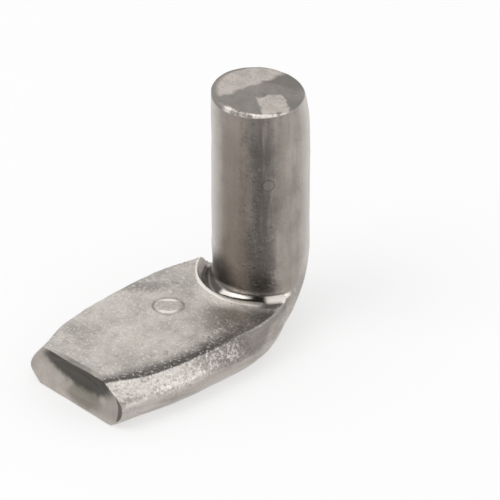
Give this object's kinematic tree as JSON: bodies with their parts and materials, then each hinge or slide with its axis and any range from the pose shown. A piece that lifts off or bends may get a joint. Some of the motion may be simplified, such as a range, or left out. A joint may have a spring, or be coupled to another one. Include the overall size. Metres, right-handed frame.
{
  "type": "weld pin",
  "caption": "Forged steel weld pin: a round upright pin bent at its foot into a flat, leaf-shaped tab that is welded down.",
  "frame": {"origin": "on the pin's axis, where its true round begins just above the elbow", "axes": "+Z along the pin's axis towards its sheared end, -Y along the tab, X across the tab"},
  "size_m": [0.0155, 0.0293, 0.0254],
  "materials": {
    "steel": "bare forged steel, satin, lightly mottled and pitted"
  },
  "bodies": {
    "root": {"weld_pin": "steel"}
  },
  "joints": []
}
